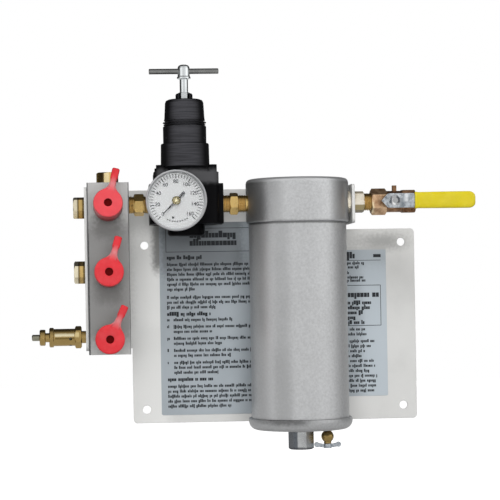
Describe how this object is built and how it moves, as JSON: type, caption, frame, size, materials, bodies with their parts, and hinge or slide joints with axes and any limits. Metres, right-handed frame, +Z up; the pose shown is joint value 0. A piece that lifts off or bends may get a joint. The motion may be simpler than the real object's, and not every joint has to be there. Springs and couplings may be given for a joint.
{
  "type": "air filter regulator panel",
  "caption": "Wall panel for compressed air with an inlet ball valve, a cartridge filter, a regulator with gauge, and a manifold with capped quick couplers",
  "frame": {"origin": "centre of the four mounting holes, on the wall face of the sheet", "axes": "+X to the right along the pipe line, +Y into the wall, +Z up"},
  "size_m": [0.5085, 0.1452, 0.4436],
  "materials": {
    "panel_paint": "satin, light warm grey",
    "label": "satin, blue grey",
    "block_aluminium": "brushed",
    "cast_aluminium": "as cast, mottled",
    "brass": "machined",
    "bronze": "forged, dull",
    "steel": "machined",
    "chrome": "polished",
    "zinc": "zinc plated, blue tint",
    "black_body": "satin black",
    "black_plastic": "satin black",
    "cap_vinyl": "soft, glossy red",
    "grip_vinyl": "soft, glossy yellow",
    "window": "clear",
    "dial_white": "matt white",
    "pointer_black": "matt black",
    "seal_rubber": "matt",
    "seat_plastic": "smooth, white",
    "bowl_plastic": "translucent",
    "media": "pleated paper"
  },
  "bodies": {
    "panel": {"back_plate": "panel_paint", "labels": "label", "manifold_block": "block_aluminium", "manifold_plugs": "brass", "outlet_nipple": "brass", "coupler_bodies": "brass", "coupler_valves": "brass", "relief_valve_body": "brass", "relief_adjuster": "brass", "relief_spring": "steel", "regulator_body": "black_body", "regulator_bottom_plug": "black_plastic", "diaphragm": "seal_rubber", "diaphragm_plate": "steel", "regulator_bonnet": "black_plastic", "bonnet_ring": "black_plastic", "bonnet_nut": "steel", "range_spring": "steel", "poppet_spring": "steel", "gauge_case": "black_plastic", "gauge_bezel": "black_plastic", "gauge_window": "window", "gauge_dial": "dial_white", "gauge_movement": "brass", "middle_nipple": "brass", "filter_head": "cast_aluminium", "bowl_guard": "cast_aluminium", "filter_bowl": "bowl_plastic", "bowl_gaskets": "seal_rubber", "filter_base": "cast_aluminium", "tie_rod": "steel", "filter_cartridge": "media", "cartridge_washer": "seal_rubber", "cartridge_nut": "steel", "base_nut": "steel", "base_washer": "steel", "drain_cock": "brass", "inlet_nipple": "brass", "valve_end_cap": "bronze", "valve_body": "bronze", "valve_seats": "seat_plastic", "valve_packing_nut": "brass"},
    "cap_top": {"dust_cap_top": "cap_vinyl"},
    "cap_middle": {"dust_cap_middle": "cap_vinyl"},
    "cap_bottom": {"dust_cap_bottom": "cap_vinyl"},
    "sleeve_top": {"coupler_sleeve_top": "steel"},
    "sleeve_middle": {"coupler_sleeve_middle": "steel"},
    "sleeve_bottom": {"coupler_sleeve_bottom": "steel"},
    "relief_stem": {"relief_stem": "steel"},
    "button": {"spring_button": "zinc"},
    "handle": {"adjusting_screw": "chrome", "tee_bar": "chrome"},
    "poppet": {"poppet": "brass"},
    "pointer": {"gauge_pointer": "pointer_black"},
    "drain_wing": {"drain_wing": "zinc"},
    "valve_handle": {"valve_ball": "steel", "valve_stem": "brass", "valve_lever": "zinc", "valve_grip": "grip_vinyl", "valve_lever_nut": "steel"}
  },
  "joints": [
    {"name": "handle_turn", "type": "hinge", "parent": "button", "child": "handle", "pos_m": [-0.10575, -0.0692, 0.2946], "axis": [0, 0, 1], "range_deg": [-2160, 0]},
    {"name": "button_slide", "type": "slide", "parent": "panel", "child": "button", "axis": [0, 0, 1], "range_m": [-0.00952, 0], "deforming": ["range_spring"]},
    {"name": "poppet_slide", "type": "slide", "parent": "panel", "child": "poppet", "axis": [0, 0, 1], "range_m": [-0.002, 0], "stiffness_N_per_m": 1500, "deforming": ["poppet_spring"]},
    {"name": "gauge_needle", "type": "hinge", "parent": "panel", "child": "pointer", "pos_m": [-0.11945, -0.1388, 0.143], "axis": [0, 1, 0], "range_deg": [0, 270]},
    {"name": "valve_turn", "type": "hinge", "parent": "panel", "child": "valve_handle", "pos_m": [0.13155, -0.0692, 0.1417], "axis": [0, 1, 0], "range_deg": [0, 90]},
    {"name": "drain_turn", "type": "hinge", "parent": "panel", "child": "drain_wing", "pos_m": [0.05307, -0.0692, -0.1354], "axis": [0, 0, 1], "range_deg": [0, 180]},
    {"name": "relief_pull", "type": "slide", "parent": "panel", "child": "relief_stem", "axis": [-1, 0, 0], "range_m": [0, 0.0025], "stiffness_N_per_m": 2000, "deforming": ["relief_spring"]},
    {"name": "sleeve_top_slide", "type": "slide", "parent": "panel", "child": "sleeve_top", "axis": [0, 1, 0], "range_m": [0, 0.003], "stiffness_N_per_m": 1500},
    {"name": "sleeve_middle_slide", "type": "slide", "parent": "panel", "child": "sleeve_middle", "axis": [0, 1, 0], "range_m": [0, 0.003], "stiffness_N_per_m": 1500},
    {"name": "sleeve_bottom_slide", "type": "slide", "parent": "panel", "child": "sleeve_bottom", "axis": [0, 1, 0], "range_m": [0, 0.003], "stiffness_N_per_m": 1500},
    {"name": "cap_top_pull", "type": "slide", "parent": "panel", "child": "cap_top", "axis": [0, -0.9781, 0.2079], "range_m": [0, 0.06]},
    {"name": "cap_middle_pull", "type": "slide", "parent": "panel", "child": "cap_middle", "axis": [0, -0.9976, 0.0698], "range_m": [0, 0.06]},
    {"name": "cap_bottom_pull", "type": "slide", "parent": "panel", "child": "cap_bottom", "axis": [0, -1, 0], "range_m": [0, 0.06]}
  ],
  "couplings": [
    {"joint": "handle_turn", "follows": "button_slide", "rad_per_m": 3957.9}
  ]
}
